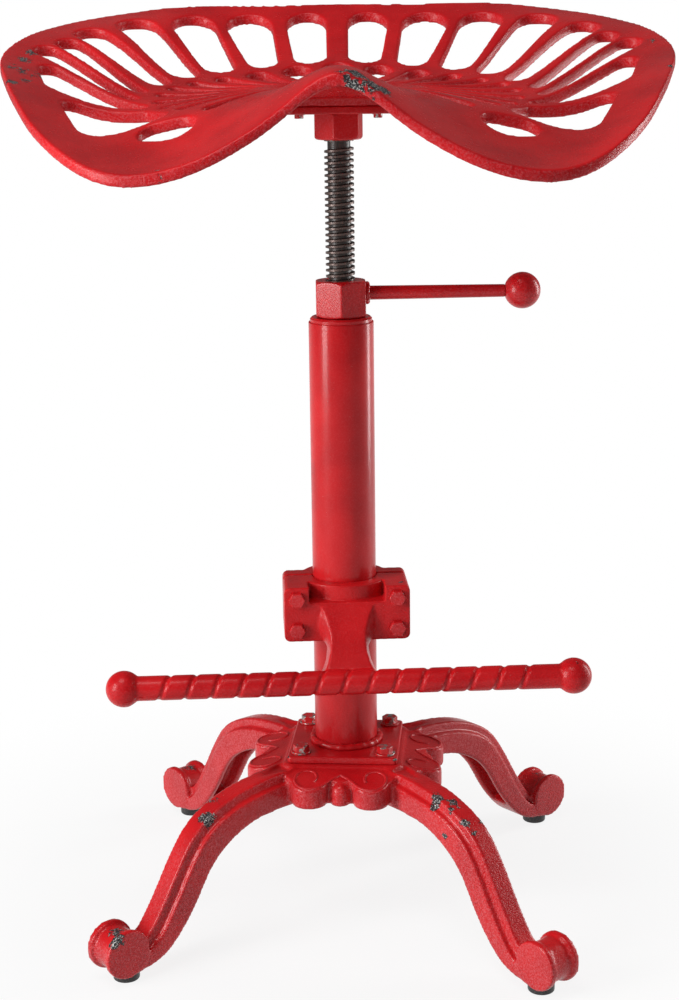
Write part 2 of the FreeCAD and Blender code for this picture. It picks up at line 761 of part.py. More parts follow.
# Guide: a nylon disc that centres the screw in the tube and stops its rise
def make_guide():
    foot = level(MOUNT_TOP) + " - rod_length"
    high = foot + " - guide_end_play"
    low = high + " - guide_thickness"
    bore = "rod_spigot_diameter / 2 + guide_clearance"
    rim = "tube_diameter / 2 - tube_wall - guide_clearance"
    guide = turned("rod_guide_body", [(bore, low), (rim, low), (rim, high), (bore, high)])
    finish(guide, "rod_guide")
    end = foot + " - rod_spigot_length"
    washer = turned("guide_washer_body", [
        ("guide_screw_diameter / 2", end + " - guide_washer_thickness"),
        ("guide_washer_diameter / 2", end + " - guide_washer_thickness"),
        ("guide_washer_diameter / 2", end),
        ("guide_screw_diameter / 2", end),
    ])
    finish(washer, "guide_washer", "seat_turn")
    under = end + " - guide_washer_thickness"
    head = hexagon("guide_screw_hex", "guide_screw_head", "guide_screw_head_height",
                   z=under + " - guide_screw_head_height")
    shank = cylinder("guide_screw_shank", "guide_screw_diameter / 2",
                     "guide_screw_length + guide_washer_thickness", z=under)
    finish(fuse("guide_screw_body", [head, shank]), "guide_screw", "seat_turn")


# Lock nut: a tall hexagon on the bush, turned by a lever with a ball knob
def make_lock():
    bore = "thread_diameter / 2 + thread_clearance"
    nut = chamfered_hex("lock_nut_body", "lock_flats", "lock_height", level(LOCK_BASE), bore, 30)
    finish(nut, "lock_nut", "lock_turn")
    axis = level(LOCK_BASE) + " + lever_rise"
    shoulder = "lock_flats / 2"
    knob = "knob_diameter / 2"
    neck = "lever_length - knob_diameter / 2 + knob_flat_depth"
    boss = turned("lever_weld_blank", [
        ("0", shoulder), ("lever_boss / 2", shoulder),
        ("lever_root / 2", shoulder + " + lever_boss_length"), ("0", shoulder + " + lever_boss_length")])
    rod = turned("lever_rod_blank", [
        ("0", shoulder), ("lever_root / 2", shoulder), ("lever_tip / 2", neck),
        ("stud_diameter / 2", neck), ("stud_diameter / 2", neck + " + knob_socket"),
        ("0", neck + " + knob_socket")])
    weld = cut("lever_weld_ring", boss, [rod])
    ball = doc.addObject("Part::Sphere", "knob_ball")
    ball.setExpression("Radius", bound(knob))
    place(ball, z="lever_length")
    flat = cylinder("knob_flat", knob, "3", z=f"{neck} - 3")
    socket = cylinder("knob_socket_hole", "stud_diameter / 2", "knob_socket", z=neck)
    shaped = cut("knob_blank", ball, [flat, socket])
    swing = FreeCAD.Rotation(Vector(0, 0, 1), SIZES["lock_turn"]).multiply(
        FreeCAD.Rotation(Vector(0, 1, 0), 90))
    for blank, label in ((group("lever_rod_laid", [rod]), "lock_lever"),
                         (group("lever_weld_laid", [weld]), "lever_weld"),
                         (group("lever_knob_laid", [shaped]), "lever_knob")):
        finish(blank, label)
        blank.Placement = FreeCAD.Placement(Vector(0, 0, 0), swing)
        place(blank, z=axis)


# Footrest: the front half of the clamp, its arm and the bar are one casting
def clamp_block(name, front, depth):
    """The clamp's outline with rounded corners, from its front face backwards."""
    block = box(name + "_block", "clamp_width", depth, "clamp_height", "-clamp_width / 2", front,
                "clamp_centre - clamp_height / 2")
    doc.recompute()
    rounded = doc.addObject("Part::Fillet", name + "_rounded")
    rounded.Base = block
    radius = SIZES["clamp_corner"]
    rounded.Edges = [(n, radius, radius) for n, edge in enumerate(block.Shape.Edges, start=1)
                     if abs(edge.Vertexes[0].Y - edge.Vertexes[-1].Y) > 1e-6]
    return rounded


def bolt_holes(name, low, depth):
    """Upright holes laid along Y, for the clamp's four bolts."""
    holes = []
    for index, (x, z) in enumerate(clamp_spots()):
        hole = cylinder(f"{name}_hole{index}", "screw_hole / 2", depth, x, low, z)
        hole.Placement.Rotation = FreeCAD.Rotation(Vector(1, 0, 0), -90)
        holes.append(hole)
    return holes


def clamp_spots():
    return [(x + "clamp_bolt_spacing / 2", f"clamp_centre {z} clamp_bolt_pitch / 2")
            for x in ("-", "") for z in ("-", "+")]


def make_arm():
    """The arm from the clamp's ledge down to the bar, through level four-cornered sections."""
    size = SIZES
    ledge = size["clamp_centre"] + size["clamp_height"] / 2 - size["clamp_ledge"]
    drop = ledge - size["bar_height"]
    half = size["arm_width"] / 2
    reach = size["bar_reach"] - size["clamp_front"]
    sections = []
    for down, front_width, front_reach, back_width, back_reach in ARM_SECTIONS:
        height = ledge - drop * down
        front = -size["clamp_front"] - reach * front_reach
        back = -size["clamp_front"] - reach * back_reach
        wide, narrow = half * back_width, half * front_width
        sections.append(Part.makePolygon([
            Vector(-wide, back, height), Vector(-narrow, front, height), Vector(narrow, front, height),
            Vector(wide, back, height), Vector(-wide, back, height)]))
    return Part.makeLoft(sections, True, True)


def make_bar():
    """The round bar with its ball ends and the twisted groove."""
    size = SIZES
    radius = size["bar_diameter"] / 2
    half = size["bar_span"] / 2
    centre = Vector(0, -size["bar_reach"], size["bar_height"])
    along = Vector(1, 0, 0)
    bar = Part.makeCylinder(radius, 2 * half, centre - along * half, along)
    length = size["bar_groove_pitch"] * size["bar_groove_turns"]
    track = radius + size["bar_groove_radius"] - size["bar_groove_depth"]
    helix = Part.makeHelix(size["bar_groove_pitch"], length, track, 0, True)
    circle = Part.Wire(Part.makeCircle(size["bar_groove_radius"], Vector(track, 0, 0), Vector(0, 1, 0)))
    groove = Part.Wire(helix.Edges).makePipeShell([circle], True, True)
    groove.translate(Vector(0, 0, -length / 2))
    groove.rotate(Vector(0, 0, 0), Vector(0, 1, 0), 90)
    groove.translate(centre)
    bar = bar.cut(groove)
    balls = [Part.makeSphere(size["ball_diameter"] / 2, centre + along * half * side) for side in (-1, 1)]
    return bar.fuse(balls)


def make_footrest():
    size = SIZES
    front = clamp_block("clamp_front_half", "-clamp_front", "clamp_front - clamp_split / 2")
    pocket = box("clamp_pocket_box", "clamp_pocket", "clamp_front", "clamp_ledge + 1",
                 "-clamp_pocket / 2", "-clamp_front - 1",
                 "clamp_centre + clamp_height / 2 - clamp_ledge")
    ring = cylinder("clamp_ring_keep", "clamp_ring", "clamp_height + 4",
                    z="clamp_centre - clamp_height / 2 - 2")
    hollow = cut("clamp_pocket_cut", pocket, [ring])
    pierced = cut("clamp_front_pierced", front,
                  [hollow] + bolt_holes("clamp_front_holes", "-clamp_front - 1", "clamp_front + 2"))
    doc.recompute()
    arm = make_arm()
    tall = size["clamp_height"] * 3
    tube = Part.makeCylinder(size["tube_diameter"] / 2 + size["clamp_clearance"], tall,
                             Vector(0, 0, size["clamp_centre"] - tall / 2))
    casting = pierced.Shape.fuse([arm, make_bar()]).cut(tube)
    item = doc.addObject("Part::Feature", "footrest_casting_shape")
    item.Shape = casting
    finish(item, "footrest_casting", "footrest_turn")


# Back half of the clamp, drawn to the front half by four bolts
def make_clamp_back():
    block = clamp_block("clamp_back", "clamp_split / 2", "clamp_back - clamp_split / 2")
    ring = cylinder("clamp_back_ring", "clamp_ring", "clamp_height",
                    z="clamp_centre - clamp_height / 2")
    behind = box("clamp_back_room", "clamp_width", "clamp_width", "clamp_height + 2",
                 "-clamp_width / 2", "clamp_split / 2", "clamp_centre - clamp_height / 2 - 1")
    half_ring = common("clamp_back_half_ring", [ring, behind])
    solid = fuse("clamp_back_solid", [block, half_ring])
    tube = cylinder("clamp_back_tube", "tube_diameter / 2 + clamp_clearance", "clamp_height + 4",
                    z="clamp_centre - clamp_height / 2 - 2")
    holes = bolt_holes("clamp_back_holes", "0", "clamp_back + 5")
    item = cut("clamp_back_half_body", solid, [tube] + holes)
    finish(item, "clamp_back_half", "footrest_turn")
    lay = FreeCAD.Rotation(Vector(1, 0, 0), -90)
    bolts, washers, nuts = [], [], []
    for index, (x, z) in enumerate(clamp_spots()):
        head = hexagon(f"clamp_bolt{index}_head", "screw_head_flats", "clamp_head_height",
                       x, "-clamp_front - clamp_head_height", z)
        shank = cylinder(f"clamp_bolt{index}_shank", "screw_diameter / 2",
                         "clamp_front + clamp_back + washer_thickness + nut_height + screw_overhang",
                         x, "-clamp_front", z)
        disc = cylinder(f"clamp_washer{index}_disc", "washer_diameter / 2", "washer_thickness",
                        x, "clamp_back", z)
        eye = cylinder(f"clamp_washer{index}_eye", "screw_diameter / 2", "washer_thickness + 2",
                       x, "clamp_back - 1", z)
        block = hexagon(f"clamp_nut{index}_hex", "nut_flats", "nut_height",
                        x, "clamp_back + washer_thickness", z)
        bore = cylinder(f"clamp_nut{index}_bore", "screw_diameter / 2", "nut_height + 2",
                        x, "clamp_back + washer_thickness - 1", z)
        for piece in (head, shank, disc, eye, block, bore):
            piece.Placement.Rotation = lay
        bolts.append(fuse(f"clamp_bolt{index}", [head, shank]))
        washers.append(cut(f"clamp_washer{index}", disc, [eye]))
        nuts.append(cut(f"clamp_nut{index}", block, [bore]))
    finish(group("clamp_bolts_set", bolts), "clamp_bolts", "footrest_turn")
    finish(group("clamp_washers_set", washers), "clamp_washers", "footrest_turn")
    finish(group("clamp_nuts_set", nuts), "clamp_nuts", "footrest_turn")


# Seat mounting: a hexagon welded on the screw, a plate and four screws
def make_mount():
    nut = chamfered_hex("seat_nut_body", "seat_nut_flats", "seat_nut_height", level(SEAT_NUT_BASE),
                        "thread_diameter / 2", SIZES["seat_nut_turn"] + 30)
    finish(nut, "seat_nut", "seat_turn")
    spots = corners("mount_screw_spacing")
    holes = [("screw_diameter", x, y) for x, y in spots] + [("thread_diameter", "0", "0")]
    plate = plate_body("seat_mount_plate_body", "mount_size", "mount_corner", "mount_thickness",
                       level(MOUNT_BASE), holes)
    finish(plate, "seat_mount_plate", "seat_turn")
    seat = level(MOUNT_TOP) + " + seat_boss_height"
    screws, washers = [], []
    for index, (x, y) in enumerate(spots):
        disc = cylinder(f"seat_washer{index}_disc", "seat_washer_diameter / 2", "seat_washer_thickness",
                        x, y, seat)
        eye = cylinder(f"seat_washer{index}_eye", "screw_diameter / 2", "seat_washer_thickness + 2",
                       x, y, seat + " - 1")
        washers.append(cut(f"seat_washer{index}", disc, [eye]))
        collar = seat + " + seat_washer_thickness"
        head = cylinder(f"seat_screw{index}_head", "seat_screw_head / 2", "seat_screw_head_height",
                        x, y, collar)
        tail = level(MOUNT_BASE) + " - screw_overhang"
        shank = cylinder(f"seat_screw{index}_shank", "screw_diameter / 2", f"{collar} - ({tail})",
                         x, y, tail)
        screws.append(fuse(f"seat_screw{index}", [head, shank]))
    finish(group("seat_screws_set", screws), "seat_screws", "seat_turn")
    finish(group("seat_washers_set", washers), "seat_washers", "seat_turn")


# Seat pan: a dished casting pierced by two rings of slots
def mirrored_points(points):
    """The points of the right half, and their mirror images on the left."""
    return list(points) + [(-x, *rest) for x, *rest in points if x]


def solved(rows):
    """Unknowns of linear equations: every row holds its factors and then its sum."""
    rows = [list(row) for row in rows]
    count = len(rows)
    for step in range(count):
        largest = max(range(step, count), key=lambda index: abs(rows[index][step]))
        rows[step], rows[largest] = rows[largest], rows[step]
        lead = rows[step][step]
        rows[step] = [value / lead for value in rows[step]]
        for index in range(count):
            factor = rows[index][step]
            if index != step and factor:
                rows[index] = [a - factor * b for a, b in zip(rows[index], rows[step])]
    return [row[-1] for row in rows]


def bend(distance):
    """How a thin plate bends at this distance from a point that holds it."""
    return distance ** 2 * math.log(distance) if distance else 0.0


def smooth_sheet(points):
    """The height, as a function of plan position, of the smoothest sheet through points."""
    def effects(x, y):
        return [bend(math.hypot(x - px, y - py)) for px, py, pz in points] + [1, x, y]

    rows = [effects(x, y) + [z] for x, y, z in points]
    rows.append([1] * len(points) + [0] * 4)
    rows.append([x for x, y, z in points] + [0] * 4)
    rows.append([y for x, y, z in points] + [0] * 4)
    shares = solved(rows)
    return lambda x, y: sum(share * effect for share, effect in zip(shares, effects(x, y)))


def seat_surface(hub_height):
    """The top of the seat as a smooth sheet through its rim and its dish."""
    height = smooth_sheet(mirrored_points(SEAT_RIM + SEAT_DISH))
    columns = [SEAT_GRID * index for index in range(-SEAT_COLUMNS, SEAT_COLUMNS + 1)]
    rows = [SEAT_GRID * index for index in range(-SEAT_ROWS, SEAT_ROWS + 1)]
    grid = [[Vector(x, y, hub_height + height(x, y)) for x in columns] for y in rows]
    sheet_surface = Part.BSplineSurface()
    sheet_surface.interpolate(grid)
    return sheet_surface.toShape()


def seat_outline():
    """The closed plan outline of the seat, on the floor plane."""
    right = [Vector(x, y, 0) for x, y, rise in SEAT_RIM]
    left = [Vector(-p.x, p.y, 0) for p in right[-2:0:-1]]
    curve = Part.BSplineCurve()
    curve.interpolate(Points=right + left, PeriodicFlag=True)
    return Part.Wire(curve.toShape())


def hull(circles):
    """A wire round some circles, given anticlockwise as centre and radius."""
    count = len(circles)
    touches = []
    for index in range(count):
        (start, r_start), (end, r_end) = circles[index], circles[(index + 1) % count]
        step = end - start
        ahead = Vector(step).normalize()
        outward = Vector(ahead.y, -ahead.x, 0)
        lean = (r_start - r_end) / step.Length
        normal = outward * math.sqrt(1 - lean * lean) + ahead * lean
        touches.append((start + normal * r_start, end + normal * r_end, normal))
    edges = []
    for index in range(count):
        centre, radius = circles[index]
        arrive, leave = touches[index - 1], touches[index]
        edges.append(arc_round(centre, radius, arrive[2], leave[2]))
        edges.append(line(leave[0], leave[1]))
    return Part.Wire(edges)


def arc_round(centre, radius, first, last):
    """The anticlockwise arc between two outward directions."""
    start = math.atan2(first.y, first.x)
    sweep = (math.atan2(last.y, last.x) - start) % (2 * math.pi)
    middle = start + sweep / 2
    point = Vector(centre.x + radius * math.cos(middle), centre.y + radius * math.sin(middle), 0)
    return Part.Arc(centre + first * radius, point, centre + last * radius).toShape()


def ring_point(angle, width, depth):
    """A point of an oval ring, by its angle from the right-hand side."""
    return Vector(width * math.cos(math.radians(angle)), depth * math.sin(math.radians(angle)), 0)


def ring_of(slots):
    """Slots from rows of numbers, each as centres and radii."""
    return [[(Vector(x, y, 0), radius) for x, y, radius in slot] for slot in slots]


def hub_slots():
    """The slots round the hub: the back one, then the right-hand ones."""
    size = SIZES
    slots = []
    for index, radius in enumerate(HUB_SLOT_RADII):
        angle = 90 - size["hub_slot_step"] * index
        sideways = abs(math.cos(math.radians(angle)))
        depth = size["hub_slot_rear"] if angle > 0 else size["hub_slot_front"]
        end = ring_point(angle, size["hub_slot_width"], depth)
        inner = size["hub_slot_inner"] * (1 - size["hub_slot_squeeze"] * (1 - sideways))
        slots.append([(end * (inner / end.Length), size["hub_slot_tip"]), (end, radius)])
    return slots


def mirrored(slot):
    """The same slot on the left, still anticlockwise."""
    return [(Vector(-centre.x, centre.y, 0), radius) for centre, radius in slot[::-1]]


def make_seat():
    size = SIZES
    hub_height = total(MOUNT_TOP) + size["seat_boss_height"]
    top = seat_surface(hub_height)
    slab = top.extrude(Vector(0, 0, -size["seat_thickness"]))
    tall = Vector(0, 0, hub_height * 1.4)
    column = Part.Face(seat_outline()).extrude(tall)
    pan = slab.common(column)
    right = ring_of(OUTER_SLOTS) + ring_of(THIGH_SLOTS)
    ring = hub_slots()
    slots = right + [mirrored(slot) for slot in right] + ring + [mirrored(slot) for slot in ring[1:]]
    cutters = [Part.Face(hull(slot)).extrude(tall) for slot in slots]
    pan = pan.cut(cutters)
    half = size["mount_size"] / 2
    base = total(MOUNT_TOP)
    boss_height = size["seat_boss_height"] - 1
    boss = Part.makeBox(2 * half, 2 * half, boss_height, Vector(-half, -half, base))
    upright = [edge for edge in boss.Edges if abs(edge.Vertexes[0].Z - edge.Vertexes[-1].Z) > 1e-6]
    boss = boss.makeFillet(size["mount_corner"], upright)
    above = top.extrude(Vector(0, 0, hub_height))
    boss = boss.cut(above)
    pan = pan.fuse(boss)
    spacing = size["mount_screw_spacing"] / 2
    over = hub_height + 2 * size["seat_boss_height"]
    for x in (-spacing, spacing):
        for y in (-spacing, spacing):
            pan = drilled(pan, size["screw_hole"], x, y, base - 1, over)
            pan = drilled(pan, size["seat_spotface"], x, y, hub_height, over)
    item = doc.addObject("Part::Feature", "seat_pan_shape")
    item.Shape = pan
    finish(item, "seat_pan", "seat_turn")


def check_and_export():
    """Stops on any failed object, then writes each sub-part's solids."""
    doc.recompute()
    for item in doc.Objects:
        bad = [state for state in item.State if state in ("Invalid", "Error")]
        if bad:
            raise RuntimeError(f"{item.Name} did not compute")
    for item in parts:
        if item.Shape.isNull() or not item.Shape.isValid() or not item.Shape.Solids:
            raise RuntimeError(f"{item.Label} is not a valid solid")
    os.makedirs("parts", exist_ok=True)
    for item in parts:
        item.Shape.exportStep(f"parts/{item.Label}.step")
        room = item.Shape.BoundBox
        print(f"{item.Label}: {len(item.Shape.Solids)} solids, volume {item.Shape.Volume:.0f}, "
              f"z {room.ZMin:.1f} to {room.ZMax:.1f}")


fill_sheet()
make_base_casting()
make_glides()
make_flange()
make_post()
make_screw_rod()
make_guide()
make_lock()
make_footrest()
make_clamp_back()
make_mount()
make_seat()
check_and_export()
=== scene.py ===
import math

import bmesh
import bpy
from mathutils import Matrix, Vector


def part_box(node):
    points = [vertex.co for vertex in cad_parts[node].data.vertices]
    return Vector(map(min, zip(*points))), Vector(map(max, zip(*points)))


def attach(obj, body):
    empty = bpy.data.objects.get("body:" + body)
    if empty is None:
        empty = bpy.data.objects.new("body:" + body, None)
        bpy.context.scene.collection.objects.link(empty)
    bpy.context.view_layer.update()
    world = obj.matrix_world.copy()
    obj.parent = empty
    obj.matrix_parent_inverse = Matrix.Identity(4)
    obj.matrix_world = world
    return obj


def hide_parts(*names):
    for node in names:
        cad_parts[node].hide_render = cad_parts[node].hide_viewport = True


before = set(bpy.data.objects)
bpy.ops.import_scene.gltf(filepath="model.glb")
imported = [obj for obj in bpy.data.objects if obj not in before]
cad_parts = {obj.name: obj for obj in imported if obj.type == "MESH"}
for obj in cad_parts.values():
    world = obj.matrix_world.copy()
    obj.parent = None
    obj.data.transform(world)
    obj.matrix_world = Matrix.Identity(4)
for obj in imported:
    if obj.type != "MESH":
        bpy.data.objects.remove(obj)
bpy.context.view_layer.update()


# Base casting: one piece of sand-cast iron, a square hub with scalloped aprons and
# four hollow legs that end in scrolls. It is painted a deep red all over, and the
# paint has chipped to black iron where the legs and scrolls get knocked.
class Wire:
    """One socket of a finish, on which shades can be worked out as sums."""

    def __init__(self, socket):
        self.socket = socket

    def node(self, kind, settings=None, inputs=None, out=0):
        """Adds a node beside this socket: its settings, then its inputs' values or wires."""
        tree = self.socket.id_data
        made = tree.nodes.new(kind)
        for name, value in (settings or {}).items():
            if name == "stops":
                ramp = made.color_ramp.elements
                while len(ramp) < len(value):
                    ramp.new(1.0)
                for stop, (at, shade) in zip(ramp, value):
                    stop.position = at
                    stop.color = shade
            else:
                setattr(made, name, value)
        for name, value in (inputs or {}).items():
            if isinstance(value, Wire):
                tree.links.new(value.socket, made.inputs[name])
            else:
                made.inputs[name].default_value = value
        return Wire(made.outputs[out])

    def sum(self, operation, first, second=0.0):
        return self.node("ShaderNodeMath", {"operation": operation}, {0: first, 1: second})

    def __add__(self, other):
        return self.sum("ADD", self, other)

    def __radd__(self, other):
        return self.sum("ADD", other, self)

    def __sub__(self, other):
        return self.sum("SUBTRACT", self, other)

    def __rsub__(self, other):
        return self.sum("SUBTRACT", other, self)

    def __mul__(self, other):
        return self.sum("MULTIPLY", self, other)

    def __rmul__(self, other):
        return self.sum("MULTIPLY", other, self)

    def __pow__(self, other):
        return self.sum("POWER", self, other)

    def larger(self, other):
        return self.sum("MAXIMUM", self, other)

    def between(self, low, high):
        """0 up to low, 1 from high, and smooth between them."""
        return self.node("ShaderNodeMapRange", {"interpolation_type": "SMOOTHSTEP"},
                         {"Value": self, "From Min": low, "From Max": high})

    def noise(self, scale, detail=2.0, roughness=0.5, lacunarity=2.0):
        """Cloudy noise over this place, with so many clouds to a metre."""
        return self.node("ShaderNodeTexNoise", {"noise_dimensions": "3D"},
                         {"Vector": self, "Scale": scale, "Detail": detail,
                          "Roughness": roughness, "Lacunarity": lacunarity})

    def pits(self, scale):
        """Rounded cells over this place, so many to a metre, 0 at each one's middle."""
        return self.node("ShaderNodeTexVoronoi", {"feature": "F1"}, {"Vector": self, "Scale": scale})

    def shade(self, low, high):
        """A colour between two, by this wire."""
        return self.node("ShaderNodeMix", {"data_type": "RGBA"}, {0: self, 6: low, 7: high}, out=2)

    def near(self, spots):
        """How close this place is to any of the spots: a spot's strength falls to 0 at its reach."""
        nearest = None
        for x, y, z, reach, strength in spots:
            gap = self.node("ShaderNodeVectorMath", {"operation": "DISTANCE"},
                            {0: self, 1: (x, y, z)}, out="Value")
            close = strength - gap * (strength / reach)
            nearest = close if nearest is None else nearest.larger(close)
        return nearest.larger(0.0)


def new_finish(name):
    """A material, its surface shader, and the place on the object as a wire."""
    finish = bpy.data.materials.new(name)
    finish.use_nodes = True
    surface = finish.node_tree.nodes["Principled BSDF"]
    place = finish.node_tree.nodes.new("ShaderNodeTexCoord")
    return finish, surface, Wire(place.outputs["Object"])


def feed(surface, **wires):
    """Links wires to the surface's sockets, by names with underscores for spaces."""
    for name, wire in wires.items():
        surface.id_data.links.new(wire.socket, surface.inputs[name.replace("_", " ")])


RED = (0.50, 0.006, 0.009, 1)
RED_DEEP = (0.42, 0.004, 0.007, 1)
RED_BRIGHT = (0.58, 0.010, 0.013, 1)
# A pale pink for the painted sheen and the painted edge highlights on the red paint.
PAINTED_SHEEN_PINK = (0.66, 0.16, 0.18, 1)
RED_DARK = (0.10, 0.003, 0.005, 1)
IRON_DARK = (0.022, 0.023, 0.026, 1)
IRON_PALE = (0.52, 0.50, 0.48, 1)


def red_paint(name, spots, grain, waves, roughness, painted_sheen=1.0, lacquer=0.30):
    """Red paint on iron or steel: sandy where cast, with a painted sheen of pale pink speckles on upright
    faces, painted highlights on convex edges and painted shade in creases, chipped to dark iron near the
    spots.

    grain and waves are the heights of its fine and broad unevenness, in metres.
    """
    finish, surface, place = new_finish(name)
    bend = place.node("ShaderNodeNewGeometry", out="Pointiness")
    facing = place.node("ShaderNodeTexCoord", out="Normal")
    level = facing.node("ShaderNodeSeparateXYZ", None, {0: facing}, out="Z")
    upright = 1 - (level * level).between(0.10, 0.50)
    close = place.near(spots)
    broad = place.noise(22, 3)
    cloud = place.noise(140, 3, 0.6)
    sand = place.noise(760, 3, 0.6)
    dust = place.noise(2400, 1)
    edge = bend.between(0.53, 0.60)
    painted_crease_shade = 1 - bend.between(0.40, 0.485)
    ragged = place.noise(420, 4, 0.65) * 0.6 + place.noise(110, 2) * 0.4
    chips = (ragged + close * 0.44 + edge * 0.02).between(0.735, 0.755)
    halo = (ragged + close * 0.44 + edge * 0.03).between(0.69, 0.74)
    nicks = (place.noise(1150, 2, 0.6) + close * 0.14 + edge * 0.04).between(0.745, 0.765)
    bare = chips.larger(nicks)
    silver = place.noise(900, 3, 0.6).between(0.53, 0.60)
    paint = broad.between(0.3, 0.7).shade(RED_DEEP, RED_BRIGHT)
    # Painted shade: the paint turns darker red in concave creases.
    paint = (painted_crease_shade * 0.6).shade(paint, RED_DARK)
    paint = (cloud.between(0.35, 0.75) * 0.30).shade(paint, RED)
    # Painted sheen: pale pink speckles, strongest on upright faces, and a painted highlight along convex
    # edges stand in for light glinting off the paint.
    sheen_speckle = (sand * 0.5 + dust * 0.5).between(0.47, 0.60)
    glint = (sheen_speckle * (0.01 + upright * 0.34) + edge * 0.10) * painted_sheen
    paint = glint.shade(paint, PAINTED_SHEEN_PINK)
    paint = (halo * 0.6).shade(paint, RED_DARK)
    iron = silver.shade(IRON_DARK, IRON_PALE)
    rough = roughness + cloud * 0.12 + sand * 0.10 + bare * 0.22 - 0.08
    height = (broad * waves + cloud * waves * 0.35 + sand * (grain + upright * grain * 0.8)
              + dust * grain * 0.25 - bare * 0.00018
              - (1 - place.pits(300).between(0.0, 0.22)) * grain * 0.5)
    relief = height.node("ShaderNodeBump", None,
                         {"Strength": 1.0, "Distance": 1.0, "Height": height})
    feed(surface, Base_Color=bare.shade(paint, iron), Roughness=rough,
         Metallic=bare * silver * 0.8, Normal=relief)
    surface.inputs["Coat Weight"].default_value = lacquer
    surface.inputs["Coat Roughness"].default_value = 0.16
    surface.inputs["Specular IOR Level"].default_value = 0.12
    return finish


def add_piece(name, mesh):
    """A new object in the scene for a mesh in the row's frame."""
    piece = bpy.data.objects.new(name, mesh)
    bpy.context.scene.collection.objects.link(piece)
    return piece


def moulded(node, name, grid, passes):
    """A solid's copy with soft corners and creases, as sand, filing and paint leave them."""
    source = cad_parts[node]
    mesh = source.data.copy()
    mesh.transform(source.matrix_world)
    mesh.materials.clear()
    shell = bmesh.new()
    shell.from_mesh(mesh)
    bmesh.ops.remove_doubles(shell, verts=shell.verts, dist=1e-6)
    shell.to_mesh(mesh)
    shell.free()
    rough = add_piece(name + "_blank", mesh)
    net = rough.modifiers.new("net", "REMESH")
    net.mode = "VOXEL"
    net.voxel_size = grid
    soften = rough.modifiers.new("soften", "SMOOTH")
    soften.factor = 0.5
    soften.iterations = passes
    now = bpy.context.evaluated_depsgraph_get()
    smooth = bpy.data.meshes.new_from_object(rough.evaluated_get(now))
    bpy.data.objects.remove(rough)
    smooth.polygons.foreach_set("use_smooth", [True] * len(smooth.polygons))
    return add_piece(name, smooth)


def dress(piece, finish, body, slot, *nodes):
    """Gives a piece its finish, the body it moves with, and the solids it stands for."""
    piece.data.materials.clear()
    piece.data.materials.append(finish)
    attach(piece, body)
    if nodes:
        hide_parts(*nodes)


def ridge(points, radius):
    """A raised line along a smooth path, as a mesh."""
    curve = bpy.data.curves.new("ridge", "CURVE")
    curve.dimensions = "3D"
    curve.bevel_depth = radius
    curve.bevel_resolution = 3
    curve.use_fill_caps = True
    path = curve.splines.new("NURBS")
    path.points.add(len(points) - 1)
    for spot, point in zip(path.points, points):
        spot.co = (*point, 1)
    path.order_u = 4
    path.resolution_u = 5
    path.use_endpoint_u = True
    item = add_piece("ridge", curve)
    now = bpy.context.evaluated_depsgraph_get()
    mesh = bpy.data.meshes.new_from_object(item.evaluated_get(now))
    bpy.data.objects.remove(item)
    return mesh


def merge(piece, meshes):
    """Adds meshes to a piece's own."""
    shell = bmesh.new()
    for mesh in [piece.data] + meshes:
        shell.from_mesh(mesh)
    shell.to_mesh(piece.data)
    shell.free()
    piece.data.polygons.foreach_set("use_smooth", [True] * len(piece.data.polygons))


# Each chip is a place, how far it reaches, and how surely the paint is gone there.
BASE_CHIPS = (
    (-0.0885, -0.0970, 0.0985, 0.012, 1.0), (-0.0880, -0.0800, 0.1050, 0.024, 0.45),
    (0.0680, -0.0792, 0.1094, 0.010, 1.0), (0.0800, -0.0800, 0.1085, 0.013, 0.8),
    (0.0777, -0.0890, 0.1050, 0.008, 0.9), (0.0887, -0.0961, 0.0988, 0.007, 0.9),
    (0.0942, -0.1016, 0.0933, 0.007, 0.8), (0.1000, -0.0891, 0.0968, 0.009, 0.7),
    (0.0665, -0.0804, 0.1025, 0.005, 1.0), (0.0744, -0.0921, 0.0872, 0.004, 1.0),
    (-0.1425, -0.1582, 0.0370, 0.012, 0.9), (-0.1430, -0.1470, 0.0375, 0.010, 0.9),
    (-0.1410, 0.1440, 0.0374, 0.010, 0.7), (0.1430, -0.1500, 0.0330, 0.008, 0.7),
    (0.1410, 0.1440, 0.0370, 0.011, 0.6),
)
# One raised curl of the front apron, seen from above, from the apron's middle to its eye.
CURL = (
    (0.0, -0.0505), (-0.007, -0.0555), (-0.0115, -0.0630), (-0.0160, -0.0668), (-0.0216, -0.0683),
    (-0.0272, -0.0666), (-0.0315, -0.0610), (-0.0326, -0.0540), (-0.0302, -0.0478),
    (-0.0250, -0.0449), (-0.0196, -0.0462), (-0.0166, -0.0508), (-0.0167, -0.0560), (-0.0182, -0.0592),
)
CURL_FRONT = -0.064
CURL_HEIGHT = 0.1097
CURL_RADIUS = 0.0010
DECK_SLOPE = 0.205
base_paint = red_paint("red_cast_base", BASE_CHIPS, grain=0.00032, waves=0.0009, roughness=0.30, painted_sheen=1.4)
base = moulded("base_casting", "cast_base", grid=0.0013, passes=5)
curls = []
for side in (-1, 1):
    path = [(side * x, y, CURL_HEIGHT + DECK_SLOPE * (y - CURL_FRONT)) for x, y in CURL]
    for quarter in range(4):
        curl = ridge(path, CURL_RADIUS)
        curl.transform(Matrix.Rotation(quarter * math.pi / 2, 4, "Z"))
        curls.append(curl)
merge(base, curls)
dress(base, base_paint, "stand", "red_casting", "base_casting")


